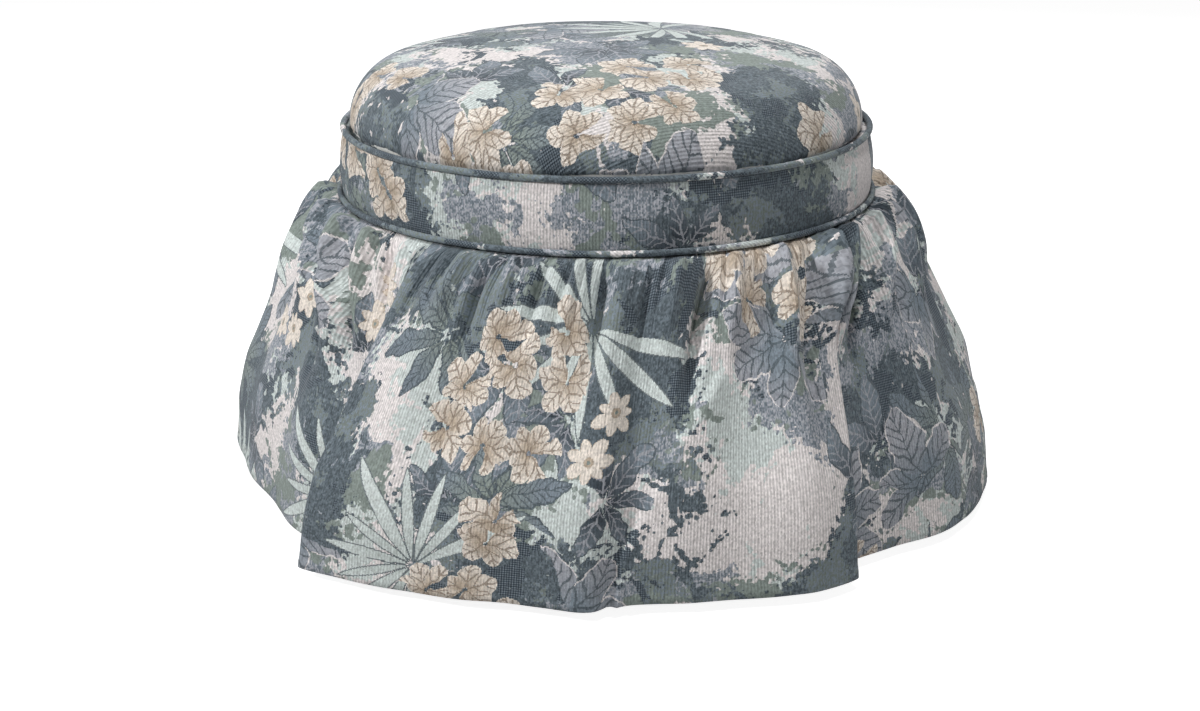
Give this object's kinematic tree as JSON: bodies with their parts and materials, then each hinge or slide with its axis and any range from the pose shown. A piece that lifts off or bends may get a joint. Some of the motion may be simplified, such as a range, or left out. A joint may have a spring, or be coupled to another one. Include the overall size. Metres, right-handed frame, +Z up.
{
  "type": "storage ottoman",
  "caption": "Round upholstered storage ottoman with a welted band, a gathered skirt down to the floor and a padded top that lifts off the open drum.",
  "frame": {"origin": "on the floor under the middle of the drum", "axes": "+Z up, -Y to the front, +X to the right as seen from the front"},
  "size_m": [0.7735, 0.814, 0.4125],
  "materials": {
    "tapestry": "woven jacquard, matte",
    "welting": "woven jacquard cut on the bias, matte",
    "lining": "plain cotton weave, matte",
    "dust_cloth": "spunbonded, matte",
    "wadding": "fibre, matte",
    "foam": "open-cell foam, matte",
    "plywood": "sanded",
    "fibreboard": "smooth",
    "pine": "planed",
    "stained_wood": "satin lacquer",
    "zinc_steel": "zinc plated",
    "glide_plastic": "satin"
  },
  "bodies": {
    "base": {"base_board": "plywood", "drum_wall": "fibreboard", "uprights": "pine", "rim_ring": "plywood", "liner_wall": "fibreboard", "wall_lining": "lining", "floor_board": "fibreboard", "floor_lining": "lining", "dust_cover": "dust_cloth", "feet": "stained_wood", "foot_bolts": "zinc_steel", "foot_nuts": "zinc_steel", "glides": "glide_plastic", "base_screws": "zinc_steel", "rim_screws": "zinc_steel", "band_wadding": "wadding", "band_cover": "tapestry", "rim_facing": "tapestry", "rim_staples": "zinc_steel", "upper_welt": "welting", "lower_welt": "welting", "skirt_hoop": "plywood", "skirt_front": "tapestry", "skirt_back": "tapestry"},
    "top": {"top_cover": "tapestry", "top_wrap": "wadding", "top_foam": "foam", "top_board": "plywood", "top_locator": "plywood", "top_lining": "lining", "locator_screws": "zinc_steel", "top_staples": "zinc_steel"}
  },
  "joints": [
    {"name": "top_lift", "type": "slide", "parent": "base", "child": "top", "axis": [0, 0, 1], "range_m": [0, 0.25]}
  ]
}
